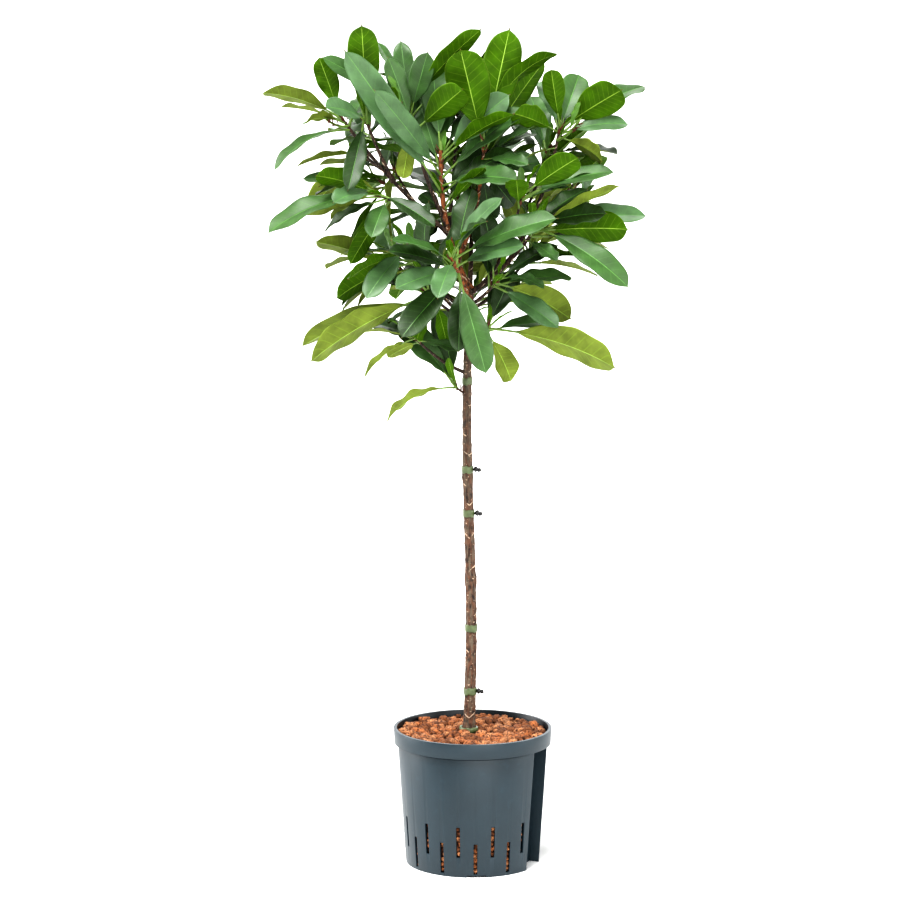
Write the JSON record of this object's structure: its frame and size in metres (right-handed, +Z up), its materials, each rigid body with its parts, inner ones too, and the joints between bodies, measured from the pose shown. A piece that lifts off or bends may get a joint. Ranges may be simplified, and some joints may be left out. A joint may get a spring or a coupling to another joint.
{
  "type": "potted ficus cyathistipula standard tree",
  "caption": "Small fig tree grown as a standard, with a bare trunk, a round crown of leathery leaves and a slotted culture pot filled with clay granules.",
  "frame": {"origin": "middle of the flat underside of the pot", "axes": "+Z up along the trunk, +X to the right and +Y to the back as seen from the front"},
  "size_m": [0.5212, 0.4115, 1.1564],
  "materials": {
    "pot": "matt moulded polypropylene, blue-grey",
    "granules": "rough fired clay, terracotta",
    "bark": "thin brown bark",
    "tie": "soft sage-green plastic tie",
    "foliage": "leathery green leaves on green twigs"
  },
  "bodies": {
    "root": {"pot": "pot", "clay_granules": "granules", "trunk": "bark", "tie_1": "tie", "tie_2": "tie", "tie_3": "tie", "tie_4": "tie", "tie_5": "tie", "tie_6": "tie", "bough_leader": "bark", "bough_left_top": "bark", "bough_left_high": "bark", "bough_left_inner": "bark", "bough_left_mid": "bark", "bough_left_low": "bark", "bough_left_under": "bark", "bough_low_left": "bark", "bough_right_low": "bark", "bough_right": "bark", "bough_right_mid": "bark", "bough_centre": "bark", "bough_right_top": "bark", "bough_front": "bark", "bough_back": "bark", "bough_back_top": "bark", "bough_back_left": "bark", "bough_back_left_low": "bark", "bough_back_right": "bark", "bough_back_right_low": "bark", "bough_back_low": "bark", "bough_side_left": "bark", "bough_side_right": "bark", "foliage_leader": "foliage", "foliage_left_top": "foliage", "foliage_left_high": "foliage", "foliage_left_inner": "foliage", "foliage_left_mid": "foliage", "foliage_left_low": "foliage", "foliage_left_under": "foliage", "foliage_low_left": "foliage", "foliage_trunk_leaf": "foliage", "foliage_low_right": "foliage", "foliage_right_low": "foliage", "foliage_right": "foliage", "foliage_right_mid": "foliage", "foliage_centre": "foliage", "foliage_right_top": "foliage", "foliage_front": "foliage", "foliage_back": "foliage", "foliage_back_top": "foliage", "foliage_back_left": "foliage", "foliage_back_left_low": "foliage", "foliage_back_right": "foliage", "foliage_back_right_low": "foliage", "foliage_back_low": "foliage", "foliage_side_left": "foliage", "foliage_side_right": "foliage"}
  },
  "joints": []
}
